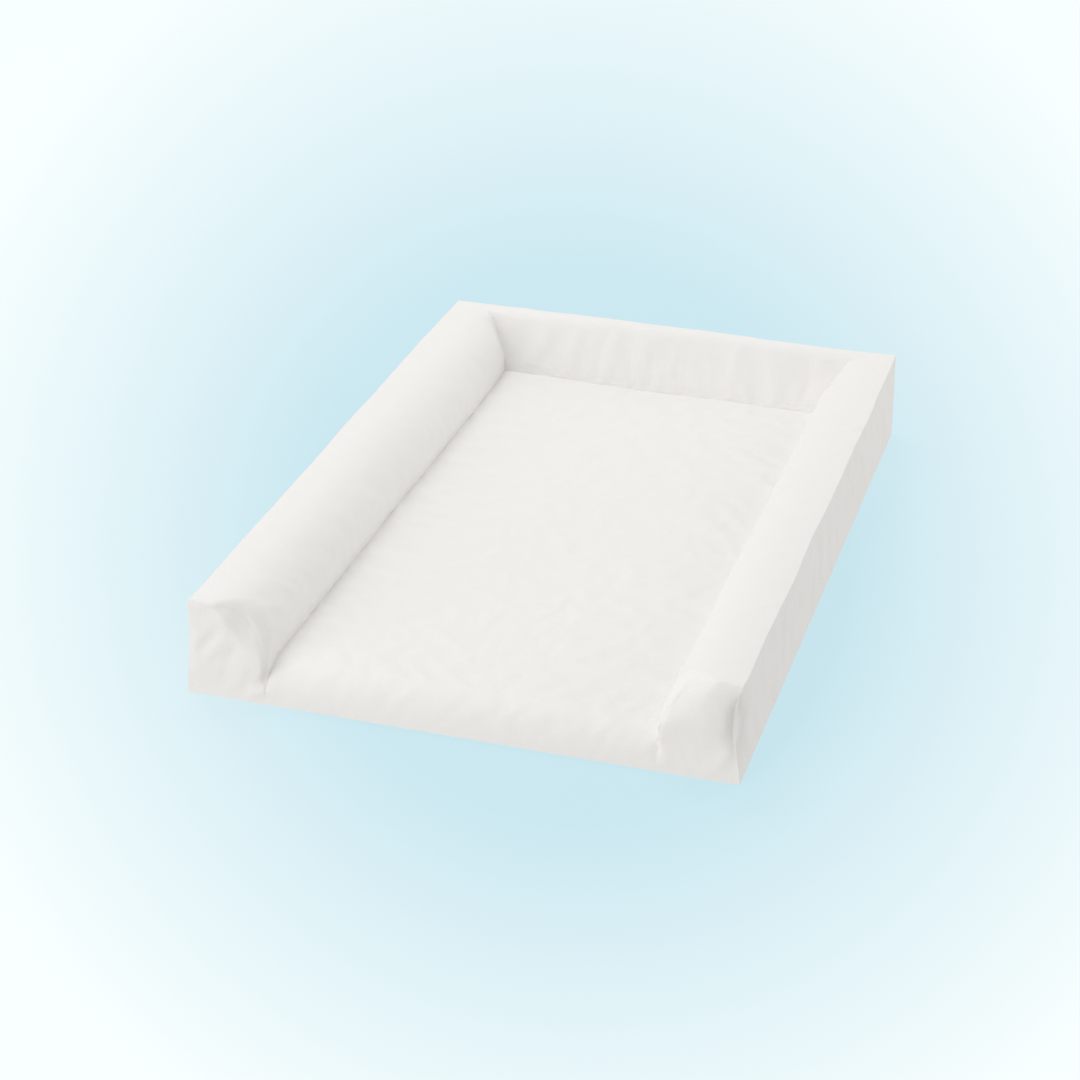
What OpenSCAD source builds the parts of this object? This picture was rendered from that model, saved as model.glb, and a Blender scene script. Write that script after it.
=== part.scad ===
// Three-sided changing pad: a foam core in a wipe-clean film, inside a zipped fabric cover.
// Frame: millimetres, +Z up, origin at the middle of the underside.
// +X runs across the pad and +Y runs from the open front end to the head end.

/* [Pad] */
// Outer width, from side to side
pad_w = 480; // [420:10:560]
// Outer length, from the open front end to the head end
pad_l = 740; // [660:10:850]
// Height of the raised edges above the table
pad_h = 90; // [80:1:95]
// Height of the lying surface above the table
lying_h = 33; // [32:1:40]
// Radius of the rolled front edge of the lying surface
front_r = 28; // [15:1:28]
// How far the rolled front edge stands back from the side bolsters' ends
front_set = 1; // [0.5:0.5:3]

/* [Side bolsters] */
// Width of each side bolster at its crease
side_w = 71; // [60:1:90]
// Flat width along the top of each side bolster
side_flat = 23; // [20:1:40]

/* [Head bolster] */
// Depth of the head bolster at its crease
head_d = 48; // [48:1:80]
// Lean of the head bolster's sloping face, in degrees from upright
head_lean = 26; // [10:1:26]
// Rounding between the head bolster's top and its sloping face
head_r = 12; // [8:1:14]
// How far the head bolster's top lies below the side bolsters'
head_drop = 0.8; // [0.5:0.1:2]

/* [Layers] */
// Thickness of the fabric cover
cover_t = 2; // [1.5:0.25:2.5]
// Thickness of the wipe-clean film
film_t = 0.4; // [0.3:0.1:0.6]
// Gap between one layer and the next
layer_gap = 0.3; // [0.2:0.1:0.4]

/* [Zip] */
// Height of the zip's middle above the table
zip_z = 23; // [20:1:26]
// Length of the zip chain
zip_l = 400; // [300:10:400]
// Height of the opening in the cover that shows the zip
zip_window = 14; // [13:1:16]
// Width of each zip tape
tape_w = 10.6; // [9:0.2:11]
// Height of each row of teeth
teeth_h = 2.2; // [1.8:0.1:2.4]
// Length of the slider's body
slider_l = 12; // [10:1:14]
// Length of the pull, from its pivot to its tip
pull_l = 22; // [16:1:28]

/* [Small parts] */
// Length of the care label that shows outside its seam
label_l = 30; // [20:1:40]
// Width of the care label
label_w = 25; // [15:1:30]
// Outer radius of a vent eyelet
eyelet_r = 5; // [4:0.5:6]

/* [Hidden] */
$fn = 96;
e = 1; // how far a cutting shape runs past what it cuts

// Insets of each layer from the outside of the cover
film_in = cover_t + layer_gap;
film_inner = film_in + film_t;
foam_in = film_inner + layer_gap;
// The core stands back from the cover at the head end, where the slider's inner plate runs
zip_room = 2.4;

half_w = pad_w / 2;
half_l = pad_l / 2;
crease_x = half_w - side_w;
side_r = side_w - side_flat;
head_h = pad_h - head_drop;
head_half = crease_x + side_r + side_flat / 2; // the head bolster's ends, inside the side bolsters

// Vent eyelets, in the liner's back wall
eyelet_x = 60;
eyelet_z = 58;

// Zip: the tapes lie behind the cover's hems, and the teeth stand on the tapes
tape_t = 0.8;
tape_past = 2; // from the chain's end to the tape's end
window_past = 3; // from the chain's end to the window's end
top_stop_l = 2;
bottom_stop_l = 3;
tape_y = half_l - cover_t - layer_gap - tape_t;
teeth_y = tape_y + tape_t;
teeth_t = 1.8;
teeth_gap = 0.8; // slot between the two rows, for the slider's divider
slider_w = 10;
slider_end = 10; // from the chain's end to the slider's middle, zip closed
slider_x = zip_l / 2 - slider_end;
plate_y = teeth_y + teeth_t + layer_gap;
plate_t = 1.2;
bar_r = 0.6;
bar_gap = 0.35; // clearance round the pull's bar and beside its arms
pivot_y = plate_y + plate_t + bar_r + bar_gap;
bridge_w = 2.2;
bridge_l = 6.4;
bridge_h = 2.7;

FOAM = ["base_foam", "left_bolster_foam", "right_bolster_foam", "head_bolster_foam"];
LINER = ["liner_top_film", "liner_base_film", "liner_vent_eyelets"];
COVER = ["cover_centre_panel", "cover_left_bolster_panel", "cover_right_bolster_panel",
    "cover_head_bolster_panel", "cover_left_end_cap", "cover_right_end_cap",
    "cover_left_side_band", "cover_right_side_band", "cover_head_side_band",
    "cover_zip_strip", "cover_base_panel"];
ZIP = ["zip_upper_tape", "zip_lower_tape", "zip_upper_teeth", "zip_lower_teeth",
    "zip_stops", "zip_slider", "zip_pull"];

// ---- Helpers ----

// A box given by its two opposite corners
module block(low, high) {
    translate(low) cube(high - low);
}

// Stands an outline drawn as (depth, height) along the X axis, facing -Y from the head end
module along_x(length) {
    translate([-length / 2, half_l, 0]) rotate([90, 0, 90]) mirror([1, 0, 0])
        linear_extrude(height = length) children();
}

// Stands an outline drawn as (width, height) along the Y axis, on the +X side
module along_y(front, back) {
    translate([half_w, back, 0]) rotate([90, 0, 0]) mirror([1, 0, 0])
        linear_extrude(height = back - front) children();
}

// Draws its children on the +X side for 1 and on the -X side for -1
module on_side(side) {
    mirror([side < 0 ? 1 : 0, 0, 0]) children();
}

module both_sides() {
    for (side = [-1, 1]) on_side(side) children();
}

// ---- Sections of the pad, each inset by one layer ----

// Quarter of a disc, standing on the two axes through its middle
module quarter_disc(radius) {
    intersection() {
        circle(r = radius);
        square(radius + e);
    }
}

// Side bolster: upright outside, flat top, then one round shoulder down to the crease
module side_section(inset, bottom) {
    shoulder_h = pad_h - side_r;
    translate([inset, bottom]) square([side_flat - inset, pad_h - inset - bottom]);
    translate([inset, bottom]) square([side_w - 2 * inset, shoulder_h - bottom]);
    translate([side_flat, shoulder_h]) quarter_disc(side_r - inset);
}

// Lying surface: a slab with a rolled front edge, drawn as (depth from the head end, height)
module lying_section(inset, back, bottom) {
    roll = [pad_l - front_set - front_r, lying_h - front_r];
    translate([back, bottom]) square([roll.x - back, lying_h - inset - bottom]);
    translate([back, bottom])
        square([roll.x + front_r - inset - back, roll.y - bottom]);
    translate(roll) quarter_disc(front_r - inset);
}

// ---- The volumes that a layer encloses ----

module side_volume(inset, back, bottom) {
    along_y(-half_l + inset, half_l - back) side_section(inset, bottom);
}

// Head bolster: flat top, a small rounding, then a flat face that leans back from the crease
module head_volume(inset, back, bottom) {
    normal = [cos(head_lean), sin(head_lean)];
    round_h = head_h - head_r;
    round_x = head_d - (head_r + normal.y * (round_h - lying_h)) / normal.x;
    middle = [round_x, round_h];
    shoulder = middle + (head_r - inset) * normal;
    foot = [head_d, lying_h] - inset * normal;
    top = head_h - inset;
    along_x(2 * head_half)
        polygon([[back, bottom], [back, top], [round_x, top], shoulder, foot, [foot.x, bottom]]);
    along_x(2 * head_half) intersection() {
        translate(middle) circle(r = head_r - inset);
        translate([round_x - e, foot.y]) square([head_d, head_h]);
    }
}

module lying_volume(inset, back, bottom) {
    along_x(2 * crease_x + 2 * inset + e) lying_section(inset, back, bottom);
}

module pad_volume(inset, back, bottom) {
    both_sides() side_volume(inset, back, bottom);
    head_volume(inset, back, bottom);
    lying_volume(inset, back, bottom);
}

// ---- Foam core ----

module base_foam() {
    back = foam_in + zip_room;
    wall_x = crease_x + foam_in;
    color("khaki") {
        along_x(2 * wall_x) lying_section(foam_in, back, foam_in);
        both_sides() block([wall_x, -half_l + foam_in, foam_in],
            [half_w - foam_in, half_l - back, lying_h - foam_in]);
    }
}

module bolster_foam_on_base() {
    color("khaki") difference() {
        children();
        block([-half_w, -half_l, -e], [half_w, half_l, lying_h - foam_in]);
    }
}

module right_bolster_foam() {
    bolster_foam_on_base() side_volume(foam_in, foam_in + zip_room, 0);
}

module left_bolster_foam() {
    on_side(-1) right_bolster_foam();
}

module head_bolster_foam() {
    bolster_foam_on_base() difference() {
        head_volume(foam_in, foam_in + zip_room, 0);
        both_sides() side_volume(foam_in - layer_gap, 0, -e);
    }
}

// ---- Wipe-clean liner ----

module eyelet_places() {
    for (x = [-eyelet_x, eyelet_x])
        translate([x, half_l - film_in - zip_room, eyelet_z]) rotate([90, 0, 0]) children();
}

module liner_top_film() {
    color("aliceblue") difference() {
        pad_volume(film_in, film_in + zip_room, film_inner);
        pad_volume(film_inner, film_inner + zip_room, 0);
        eyelet_places() translate([0, 0, -e]) cylinder(r = eyelet_r / 2, h = film_t + 2 * e);
    }
}

module liner_base_film() {
    notch_x = crease_x + film_in;
    notch_y = -half_l + front_set + film_in;
    color("aliceblue") difference() {
        block([-half_w + film_in, -half_l + film_in, film_in],
            [half_w - film_in, half_l - film_in - zip_room, film_inner]);
        // the rolled front edge stands back between the side bolsters
        block([-notch_x, -half_l, 0], [notch_x, notch_y, lying_h]);
    }
}

module liner_vent_eyelets() {
    flange_t = 0.8;
    color("silver") eyelet_places() difference() {
        translate([0, 0, -flange_t]) cylinder(r = eyelet_r, h = flange_t);
        translate([0, 0, -flange_t - e]) cylinder(r = eyelet_r / 2, h = flange_t + 2 * e);
    }
}

// ---- Fabric cover ----

module cover_centre_panel() {
    color("white") difference() {
        along_x(2 * crease_x) lying_section(0, head_d, 0);
        along_x(pad_w) lying_section(cover_t, 0, -e);
    }
}

// Side bolster fabric: from the outer top seam, over the shoulder and down to the crease
module cover_right_bolster_panel() {
    color("white") difference() {
        along_y(-half_l + cover_t, half_l - cover_t) difference() {
            side_section(0, lying_h - cover_t);
            side_section(cover_t, -e);
            square([2 * cover_t, 2 * pad_h], center = true);
        }
        head_volume(cover_t, -e, 0);
    }
}

module cover_left_bolster_panel() {
    on_side(-1) cover_right_bolster_panel();
}

module cover_head_bolster_panel() {
    color("white") difference() {
        head_volume(0, cover_t, lying_h - cover_t);
        head_volume(cover_t, 0, -e);
        both_sides() side_volume(0, 0, -e);
    }
}

// Closes the open front end of a side bolster
module cover_right_end_cap() {
    color("white") difference() {
        along_y(-half_l, -half_l + cover_t) side_section(0, 0);
        block([half_w - cover_t, -half_l - e, -e], [half_w + e, half_l, pad_h + e]);
    }
}

module cover_left_end_cap() {
    on_side(-1) cover_right_end_cap();
}

module cover_right_side_band() {
    color("white") block([half_w - cover_t, -half_l, 0], [half_w, half_l, pad_h]);
}

module cover_left_side_band() {
    on_side(-1) cover_right_side_band();
}

// The back wall is two pieces that meet beyond the zip's ends and leave its window open
module back_wall(low, high) {
    inside = half_w - cover_t;
    window_l = zip_l + 2 * window_past;
    color("white") difference() {
        block([-inside, half_l - cover_t, low], [inside, half_l, high]);
        block([-window_l / 2, half_l - cover_t - e, zip_z - zip_window / 2],
            [window_l / 2, half_l + e, zip_z + zip_window / 2]);
    }
}

module cover_head_side_band() {
    back_wall(zip_z, head_h);
}

module cover_zip_strip() {
    back_wall(0, zip_z);
}

module cover_base_panel() {
    color("white") block([-half_w + cover_t, -half_l + front_set + cover_t, 0],
        [half_w - cover_t, half_l - cover_t, cover_t]);
}

// ---- Zip ----

// Draws its children above the zip's middle line for 1 and below it for -1
module zip_half(side) {
    translate([0, 0, zip_z]) mirror([0, 0, side < 0 ? 1 : 0]) children();
}

module zip_tape(side) {
    color("whitesmoke") zip_half(side) block(
        [-zip_l / 2 - tape_past, tape_y, teeth_gap / 2],
        [zip_l / 2 + tape_past, teeth_y, teeth_gap / 2 + tape_w]);
}

module zip_teeth(side) {
    color("gainsboro") zip_half(side) block(
        [-zip_l / 2 + bottom_stop_l, teeth_y, teeth_gap / 2],
        [zip_l / 2 - top_stop_l, teeth_y + teeth_t, teeth_gap / 2 + teeth_h]);
}

module zip_upper_tape() { zip_tape(1); }
module zip_lower_tape() { zip_tape(-1); }
module zip_upper_teeth() { zip_teeth(1); }
module zip_lower_teeth() { zip_teeth(-1); }

// Two stops at the closed end, one on each row, and one across both rows at the other end
module zip_stops() {
    reach = teeth_gap / 2 + teeth_h;
    color("gainsboro") {
        for (side = [-1, 1]) zip_half(side) block(
            [zip_l / 2 - top_stop_l, teeth_y, teeth_gap / 2],
            [zip_l / 2, teeth_y + teeth_t, reach]);
        block([-zip_l / 2, teeth_y, zip_z - reach],
            [-zip_l / 2 + bottom_stop_l, teeth_y + teeth_t, zip_z + reach]);
    }
}

// A plate of the slider: round at the leading end, in the X-Z plane
module slider_plate(y, thickness) {
    translate([0, y + thickness, 0]) rotate([90, 0, 0]) linear_extrude(height = thickness) {
        translate([slider_l / 2 - slider_w / 2, 0]) circle(d = slider_w);
        translate([-slider_l / 2, -slider_w / 2]) square([slider_l - slider_w / 2, slider_w]);
    }
}

module zip_slider() {
    inner_t = 1;
    inner_y = tape_y - layer_gap - inner_t;
    divider_t = 0.4;
    divider_back = 1; // from the plates' leading end to the divider
    lip_t = 1;
    lip_rise = 0.5; // from the tape to the lips
    post_l = 1.2;
    window_h = 2 * bar_r + bar_gap + 0.15;
    plate_top = plate_y + plate_t;
    color("gainsboro") translate([slider_x, 0, zip_z]) {
        slider_plate(plate_y, plate_t);
        slider_plate(inner_y, inner_t);
        // divider through the slot between the rows
        block([0, inner_y + inner_t, -divider_t / 2],
            [slider_l / 2 - divider_back, plate_y, divider_t / 2]);
        // lips that keep the teeth under the outer plate
        for (side = [-1, 1]) mirror([0, 0, side < 0 ? 1 : 0]) block(
            [-slider_l / 2, teeth_y + lip_rise, slider_w / 2 - lip_t],
            [slider_l / 2 - slider_w / 2, plate_y, slider_w / 2]);
        // bridge that holds the pull's bar
        difference() {
            block([-bridge_l / 2, plate_top, -bridge_w / 2],
                [bridge_l / 2, plate_top + bridge_h, bridge_w / 2]);
            block([-bridge_l / 2 + post_l, plate_top - e, -bridge_w],
                [bridge_l / 2 - post_l, plate_top + window_h, bridge_w]);
        }
    }
}

// The pull: a bar under the bridge, two arms beside it and a round-ended tab
module zip_pull() {
    arm_in = bridge_w / 2 + bar_gap;
    arm_w = 1.2;
    tab_start = bridge_l / 2 + e;
    tab_r = 3.2;
    tab_left = -pull_l + tab_r; // middle of the tab's round end
    hole_r = 1.4;
    hole_in = 0.6; // how far the hole stands in from the round end's middle
    pull_t = 2 * bar_r;
    color("gainsboro") translate([slider_x, pivot_y, zip_z]) {
        translate([0, 0, -arm_in - arm_w]) cylinder(r = bar_r, h = 2 * (arm_in + arm_w));
        rotate([90, 0, 0]) translate([0, 0, -pull_t / 2]) linear_extrude(height = pull_t) {
            for (side = [-1, 1])
                translate([-tab_start, side > 0 ? arm_in : -arm_in - arm_w])
                    square([tab_start, arm_w]);
            difference() {
                union() {
                    translate([tab_left, -tab_r]) square([-tab_start - tab_left, 2 * tab_r]);
                    translate([tab_left, 0]) circle(r = tab_r);
                }
                translate([tab_left + hole_in, 0]) circle(r = hole_r);
            }
        }
    }
}

// ---- Label ----

// Blank folded label, sewn into the upright seam at the back left corner
module care_label() {
    label_t = 0.6;
    label_z = 55;
    edge = -half_w + cover_t;
    color("ghostwhite") block([edge, half_l, label_z - label_w / 2],
        [edge + label_l, half_l + label_t, label_z + label_w / 2]);
}

base_foam();
left_bolster_foam();
right_bolster_foam();
head_bolster_foam();
liner_top_film();
liner_base_film();
liner_vent_eyelets();
cover_centre_panel();
cover_left_bolster_panel();
cover_right_bolster_panel();
cover_head_bolster_panel();
cover_left_end_cap();
cover_right_end_cap();
cover_left_side_band();
cover_right_side_band();
cover_head_side_band();
cover_zip_strip();
cover_base_panel();
zip_upper_tape();
zip_lower_tape();
zip_upper_teeth();
zip_lower_teeth();
zip_stops();
zip_slider();
zip_pull();
care_label();
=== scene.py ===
# %% [markdown]
# # A three-sided changing pad
# The pad is a foam core in a wipe-clean liner, inside a white knitted cover that closes with a zip along
# its head end. The lying surface is low and flat, and a raised bolster runs along both sides and across
# the head. The CAD model fixes every size and place, so this lesson loads it first and then sews the soft
# pieces around it.

# %% Load the frame
import math

import bmesh
import bpy
from mathutils import Matrix, Vector, noise
from mathutils.kdtree import KDTree


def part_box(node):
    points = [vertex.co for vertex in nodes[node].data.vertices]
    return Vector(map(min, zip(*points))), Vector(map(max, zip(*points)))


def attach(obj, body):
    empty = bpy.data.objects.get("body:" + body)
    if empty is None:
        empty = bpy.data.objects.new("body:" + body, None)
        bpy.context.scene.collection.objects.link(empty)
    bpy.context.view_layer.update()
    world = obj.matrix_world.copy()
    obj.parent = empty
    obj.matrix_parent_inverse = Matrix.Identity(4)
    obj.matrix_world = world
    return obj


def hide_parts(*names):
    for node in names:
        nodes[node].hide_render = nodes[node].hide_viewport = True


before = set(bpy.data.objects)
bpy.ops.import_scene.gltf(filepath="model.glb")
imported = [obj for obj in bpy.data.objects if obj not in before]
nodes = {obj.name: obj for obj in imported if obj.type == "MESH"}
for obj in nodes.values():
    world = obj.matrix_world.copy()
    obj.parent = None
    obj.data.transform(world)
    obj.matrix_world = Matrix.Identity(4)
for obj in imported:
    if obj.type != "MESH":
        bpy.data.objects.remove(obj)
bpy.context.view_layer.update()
MM = 0.001

# %% [markdown]
# ## The camera
# The pad is seen from in front of its open end, a little to the right and from above, with a long lens.
# A camera can be placed by typing its location and turning it by eye, or by building its three axes. The
# axes are used here, because the aim point, the distance and the small roll then stay separate numbers.

# %% Camera
CAMERA_TURN = math.radians(15.58)
CAMERA_RISE = math.radians(26.21)
CAMERA_ROLL = math.radians(1.55)
CAMERA_DISTANCE = 2.527
CAMERA_SLIDE = (-0.0346, 0.0089)
CAMERA_LENS = 88.7


def make_camera():
    back = Vector((
        math.sin(CAMERA_TURN) * math.cos(CAMERA_RISE),
        -math.cos(CAMERA_TURN) * math.cos(CAMERA_RISE),
        math.sin(CAMERA_RISE),
    ))
    level = Vector((math.cos(CAMERA_TURN), math.sin(CAMERA_TURN), 0))
    upright = back.cross(level)
    right = level * math.cos(CAMERA_ROLL) + upright * math.sin(CAMERA_ROLL)
    up = upright * math.cos(CAMERA_ROLL) - level * math.sin(CAMERA_ROLL)
    data = bpy.data.cameras.new("camera")
    data.lens = CAMERA_LENS
    data.sensor_width = 36
    camera = bpy.data.objects.new("camera", data)
    bpy.context.scene.collection.objects.link(camera)
    place = right * CAMERA_SLIDE[0] + up * CAMERA_SLIDE[1] + back * CAMERA_DISTANCE
    turn = Matrix((right, up, back)).transposed().to_4x4()
    camera.matrix_world = Matrix.Translation(place) @ turn
    bpy.context.scene.camera = camera
    return camera


camera = make_camera()
print("camera at", [round(v, 3) for v in camera.matrix_world.translation])

# %% [markdown]
# ## Measures taken from the frame
# Every soft piece goes where its CAD node is, so the main sizes are read from the nodes' boxes. Only the
# radii of the rounded sections are typed, because a box doesn't hold them.

# %% Sizes
side_low, side_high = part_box("cover_right_side_band")
centre_low, centre_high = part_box("cover_centre_panel")
head_low, head_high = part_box("cover_head_bolster_panel")
base_low, base_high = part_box("cover_base_panel")
HALF_W = side_high.x
HALF_L = side_high.y
TOP_Z = side_high.z
CREASE_X = centre_high.x
CREASE_Z = centre_high.z
CREASE_Y = centre_high.y
FRONT_Y = centre_low.y
COVER_T = 1.6 * MM
SIDE_FLAT = 23 * MM
FRONT_R = 28 * MM
HEAD_R = 12 * MM
HEAD_LEAN = math.tan(math.radians(26))
SIDE_R = HALF_W - CREASE_X - SIDE_FLAT
ARC_Z = TOP_Z - SIDE_R
print("pad", round(2 * HALF_W, 3), "by", round(2 * HALF_L, 3), "by", TOP_Z, "crease at", round(CREASE_X, 3))

# %% [markdown]
# ## How the bolsters' sections meet
# Cloth panels that share a seam need the same points along it. A side bolster's section is flat on top,
# then round, then upright above the crease. The head bolster is flat, then slightly rounded, then a
# leaning face. Both sections are walked with one number: 0 at the outer seam, 1 at the end of the flat,
# 2 at the end of the round shoulder and 3 in the crease. Equal numbers have equal heights, so the two
# panels meet along the mitre by themselves.

# %% Sections
EDGE_DROP = 2.2 * MM
HEAD_ROUND_V = (HALF_L - CREASE_Y) - (TOP_Z - HEAD_R - CREASE_Z) * HEAD_LEAN \
    - HEAD_R * math.hypot(1, HEAD_LEAN)
STEPS_FLAT = 4
STEPS_ROUND = 15
STEPS_UPRIGHT = 12


def side_section(walk, crease_z):
    """Distance in from the outer face, and height, on a side bolster."""
    if walk <= 1:
        return walk * SIDE_FLAT, TOP_Z - EDGE_DROP * (1 - walk) ** 2
    if walk <= 2:
        turn = (walk - 1) * math.pi / 2
        return SIDE_FLAT + SIDE_R * math.sin(turn), ARC_Z + SIDE_R * math.cos(turn)
    return SIDE_FLAT + SIDE_R, ARC_Z + (walk - 2) * (crease_z - ARC_Z)


def head_section(walk):
    """Distance in from the head end, and height, on the head bolster."""
    height = side_section(walk, CREASE_Z)[1]
    if walk <= 1:
        return walk * HEAD_ROUND_V, height
    slope = (HALF_L - CREASE_Y) - (height - CREASE_Z) * HEAD_LEAN
    rise = height - (TOP_Z - HEAD_R)
    if rise < HEAD_R * math.sin(math.atan(HEAD_LEAN)):
        return slope, height
    return HEAD_ROUND_V + math.sqrt(max(HEAD_R ** 2 - rise ** 2, 0)), height


WALK = [i / STEPS_FLAT for i in range(STEPS_FLAT)]
WALK += [1 + i / STEPS_ROUND for i in range(STEPS_ROUND)]
WALK += [2 + i / STEPS_UPRIGHT for i in range(STEPS_UPRIGHT + 1)]
print("points across a bolster:", len(WALK))

# %% [markdown]
# ## Cutting the cloth
# A cover is cut from flat pieces, so each panel starts as a flat grid, and every point of the grid is then
# carried to its place on the pad. A grid keeps the cloth's rows and columns, which the knit pattern and
# the simulation both need. The UV map holds the flat piece in metres, so the knit has its true scale.

# %% A panel from a flat grid

def inner_point(place):
    """A point inside the pad near a place on its skin, to tell inside from outside."""
    keep = 30 * MM
    return Vector((
        max(-HALF_W + keep, min(HALF_W - keep, place.x)),
        max(-HALF_L + keep, min(HALF_L - keep, place.y)),
        20 * MM,
    ))


def mesh_object(name, bm):
    mesh = bpy.data.meshes.new(name)
    bm.to_mesh(mesh)
    bm.free()
    obj = bpy.data.objects.new(name, mesh)
    bpy.context.scene.collection.objects.link(obj)
    return obj


def face_outwards(bm):
    outward = sum(
        face.normal.dot(face.calc_center_median() - inner_point(face.calc_center_median()))
        for face in bm.faces
    )
    if outward < 0:
        bmesh.ops.reverse_faces(bm, faces=bm.faces)


def cut_panel(name, columns, rows, place, size):
    """A grid of columns by rows points, each carried to place(column, row)."""
    bm = bmesh.new()
    bmesh.ops.create_grid(bm, x_segments=columns - 1, y_segments=rows - 1, size=0.5)
    pattern = bm.loops.layers.uv.new("pattern")
    for face in bm.faces:
        for loop in face.loops:
            flat = loop.vert.co
            loop[pattern].uv = ((flat.x + 0.5) * size[0], (flat.y + 0.5) * size[1])
    for vert in bm.verts:
        column = round((vert.co.x + 0.5) * (columns - 1))
        row = round((vert.co.y + 0.5) * (rows - 1))
        vert.co = place(column, row)
    bm.normal_update()
    face_outwards(bm)
    return mesh_object(name, bm)


# %% [markdown]
# ## Soft ends and a hand-made outline
# Foam blocks in a knitted cover never keep a sharp front end: the bolster's end is rounded, and its edges
# wander by a millimetre or so. Both are written as one function of a point's place. Panels that share a
# seam give it the same points, so the seam stays closed.

# %% Softening
END_R = 7 * MM
END_R_MORE = 26 * MM
TOP_INSET = 2.4 * MM
WANDER_LARGE = 1.5 * MM
WANDER_SMALL = 0.3 * MM
WANDER_LARGE_SPAN = 110 * MM
WANDER_SMALL_SPAN = 34 * MM


def smooth(value):
    value = max(0.0, min(1.0, value))
    return value * value * (3 - 2 * value)


def round_end(point):
    """Rounds the bolster's front end between its end face and its section."""
    side = 1 if point.x > 0 else -1
    inward = HALF_W - abs(point.x)
    if inward > HALF_W - CREASE_X + 0.1 * MM:
        return point
    over = Vector((max(inward - SIDE_FLAT, 0), max(point.z - ARC_Z, 0)))
    around = math.atan2(over.x, over.y)
    radius = (END_R + END_R_MORE * math.sin(2 * around)) * smooth(point.z / (26 * MM))
    back = point.y + HALF_L
    deep = SIDE_R - over.length
    if radius < 0.01 * MM or back > radius or deep > radius or over.length < 1 * MM:
        return point
    turn = math.pi / 4 * (1 + (max(deep, 0) - max(back, 0)) / radius)
    new_back = radius * (1 - math.sin(turn))
    new_deep = radius * (1 - math.cos(turn))
    shift = -over.normalized() * (new_deep - max(deep, 0))
    return Vector((
        side * (HALF_W - inward - shift.x),
        -HALF_L + new_back,
        point.z + shift.y,
    ))


def wander(point):
    """Carries a point a little off its exact place, less near the table."""
    large = noise.noise_vector(point / WANDER_LARGE_SPAN) * WANDER_LARGE
    small = noise.noise_vector(point / WANDER_SMALL_SPAN) * WANDER_SMALL
    lift = smooth(point.z / (30 * MM))
    near_zip = smooth((point.y - HALF_L + 36 * MM) / (30 * MM))
    lift *= 1 - near_zip * (1 - smooth((point.z - 34 * MM) / (25 * MM)))
    lean = TOP_INSET * point.z / TOP_Z * smooth((abs(point.x) - CREASE_X) / (30 * MM))
    move = (large + small) * lift
    return point + move - Vector((math.copysign(lean, point.x), 0, 0))


def soften(point):
    return wander(round_end(point))


# %% [markdown]
# ## The panels of the cover
# The side bolster's panel runs from the front end to the mitre at the head. Its lowest row follows the
# crease, and at the front it drops with the rolled edge of the lying surface, which the centre panel
# covers. The end cap closes the front of the bolster. Its four borders are known from its neighbours, and
# the points between them are blended from the borders, which is called a Coons patch.

# %% Shared rows and columns
ROLL_STEPS = 8
LONG_STEPS = 118
WIDE_STEPS = 72
BAND_STEPS = STEPS_UPRIGHT + 1
LOW_BAND_STEPS = 3
ZIP_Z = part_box("cover_zip_strip")[1].z
EDGE_Z = TOP_Z - EDGE_DROP
band_levels = [EDGE_Z + (ZIP_Z - EDGE_Z) * i / (BAND_STEPS - LOW_BAND_STEPS)
               for i in range(BAND_STEPS - LOW_BAND_STEPS)]
band_levels += [ZIP_Z * (1 - i / LOW_BAND_STEPS) for i in range(LOW_BAND_STEPS + 1)]
ROLL_Y = -HALF_L + FRONT_R
roll_turns = [math.pi / 2 * (1 - i / ROLL_STEPS) for i in range(ROLL_STEPS)]


def long_place(column, far_y):
    """Y of a column that starts at the front end, and the crease's height there."""
    if column < ROLL_STEPS:
        turn = roll_turns[column]
        return ROLL_Y - FRONT_R * math.sin(turn), CREASE_Z - FRONT_R * (1 - math.cos(turn))
    share = (column - ROLL_STEPS) / LONG_STEPS
    return ROLL_Y + share * (far_y - ROLL_Y), CREASE_Z


def bolster_point(side, column, row):
    walk = WALK[row]
    far_y = HALF_L - head_section(walk)[0]
    y, crease_z = long_place(column, far_y)
    inward, height = side_section(walk, crease_z)
    return soften(Vector((side * (HALF_W - inward), y, height)))


def head_point(column, row):
    depth, height = head_section(WALK[row])
    reach = HALF_W - side_section(WALK[row], CREASE_Z)[0]
    share = column / WIDE_STEPS
    return soften(Vector((reach * (2 * share - 1), HALF_L - depth, height)))


def centre_point(column, row):
    x = CREASE_X * (2 * column / WIDE_STEPS - 1)
    if row == 0:
        return soften(Vector((x, -HALF_L, 0)))
    y, z = long_place(row - 1, CREASE_Y)
    return soften(Vector((x, y, z)))


def cap_border(share, row_share):
    """The four borders of an end cap as (inward, height) at a share along the top or down the sides."""
    columns = len(WALK) - STEPS_UPRIGHT - 1
    top = Vector(side_section(WALK[round(share * columns)], CREASE_Z))
    bottom = Vector((share * (HALF_W - CREASE_X), 0))
    upright_row = round(row_share * BAND_STEPS)
    left = Vector((0, band_levels[upright_row]))
    low_z = CREASE_Z - FRONT_R
    if upright_row <= STEPS_UPRIGHT:
        right = Vector(side_section(2 + upright_row / STEPS_UPRIGHT, low_z))
    else:
        right = Vector((HALF_W - CREASE_X, 0))
    return top, bottom, left, right


def cap_point(side, column, row):
    columns = len(WALK) - STEPS_UPRIGHT - 1
    p, q = column / columns, row / BAND_STEPS
    top, bottom, left, right = cap_border(p, q)
    corner_tl = cap_border(0, 0)[0]
    corner_tr = cap_border(1, 0)[0]
    corner_br = cap_border(1, 1)[1]
    flat = top * (1 - q) + bottom * q + left * (1 - p) + right * p
    flat -= corner_tl * (1 - p) * (1 - q) + corner_tr * p * (1 - q) + corner_br * p * q
    return soften(Vector((side * (HALF_W - flat.x), -HALF_L, flat.y)))


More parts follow.
